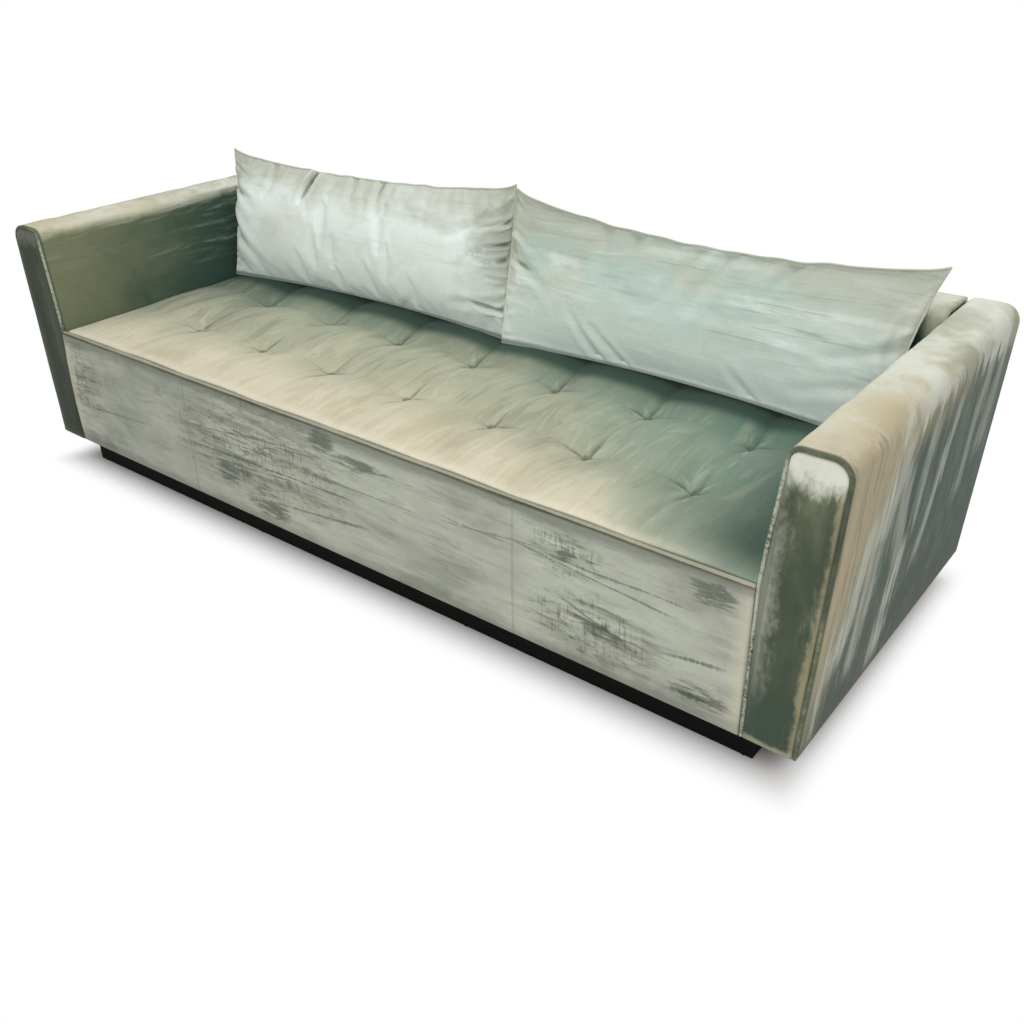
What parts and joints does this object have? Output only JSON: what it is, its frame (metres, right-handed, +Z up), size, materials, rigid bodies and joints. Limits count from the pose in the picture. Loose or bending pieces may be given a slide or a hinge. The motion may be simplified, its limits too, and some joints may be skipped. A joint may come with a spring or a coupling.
{
  "type": "three-seater sofa",
  "caption": "Long sofa with a tufted bench seat, slab arms, a low back, loose lift-off back cushions and a recessed plinth, for sitting and lounging.",
  "frame": {"origin": "on the floor, under the middle of the body", "axes": "+X along the seat, to the right when facing the sofa; the front faces -Y; +Z up"},
  "size_m": [2.4886, 0.95, 0.8506],
  "materials": {
    "apron_velvet": "matte",
    "arm_velvet": "matte",
    "back_velvet": "matte",
    "black_cambric": "matte",
    "cushion_velvet": "matte",
    "dark_stained_wood": "satin",
    "facing_velvet": "matte",
    "feather_ticking": "matte",
    "felt": "matte",
    "foam": "matte",
    "frame_timber": "matte",
    "nylon": "matte",
    "seat_velvet": "matte",
    "twine": "matte",
    "webbing": "matte",
    "welt_velvet": "matte",
    "zinc_steel": "satin"
  },
  "bodies": {
    "sofa": {"arm_bolt_washers": "zinc_steel", "arm_bolts": "zinc_steel", "back_posts": "frame_timber", "back_tack_rail": "frame_timber", "back_top_rail": "frame_timber", "dust_cover": "black_cambric", "floor_glides": "nylon", "front_apron": "apron_velvet", "inside_back_cover": "back_velvet", "left_arm_bottom_rail": "frame_timber", "left_arm_cover": "arm_velvet", "left_arm_front_facing": "facing_velvet", "left_arm_front_post": "frame_timber", "left_arm_front_welt": "welt_velvet", "left_arm_middle_post": "frame_timber", "left_arm_rear_post": "frame_timber", "left_arm_top_rail": "frame_timber", "outside_back_cover": "back_velvet", "plinth_blocks": "dark_stained_wood", "plinth_cross_boards": "dark_stained_wood", "plinth_front_board": "dark_stained_wood", "plinth_left_board": "dark_stained_wood", "plinth_rear_board": "dark_stained_wood", "plinth_right_board": "dark_stained_wood", "plinth_screws": "zinc_steel", "right_arm_bottom_rail": "frame_timber", "right_arm_cover": "arm_velvet", "right_arm_front_facing": "facing_velvet", "right_arm_front_post": "frame_timber", "right_arm_front_welt": "welt_velvet", "right_arm_middle_post": "frame_timber", "right_arm_rear_post": "frame_timber", "right_arm_top_rail": "frame_timber", "seat_corner_blocks": "frame_timber", "seat_cross_rails": "frame_timber", "seat_felt": "felt", "seat_foam_core": "foam", "seat_front_rail": "frame_timber", "seat_front_welt": "welt_velvet", "seat_left_rail": "frame_timber", "seat_rear_rail": "frame_timber", "seat_right_rail": "frame_timber", "tufted_seat_top": "seat_velvet", "tufting_twine": "twine", "tufting_washers": "zinc_steel", "webbing_front_to_back": "webbing", "webbing_side_to_side": "webbing"},
    "left_cushion": {"left_cushion_cover": "cushion_velvet", "left_cushion_insert": "feather_ticking"},
    "right_cushion": {"right_cushion_cover": "cushion_velvet", "right_cushion_insert": "feather_ticking"}
  },
  "joints": [
    {"name": "left_cushion_lift", "type": "slide", "parent": "sofa", "child": "left_cushion", "axis": [0, 0, 1], "range_m": [0, 0.45]},
    {"name": "right_cushion_lift", "type": "slide", "parent": "sofa", "child": "right_cushion", "axis": [0, 0, 1], "range_m": [0, 0.45]}
  ]
}
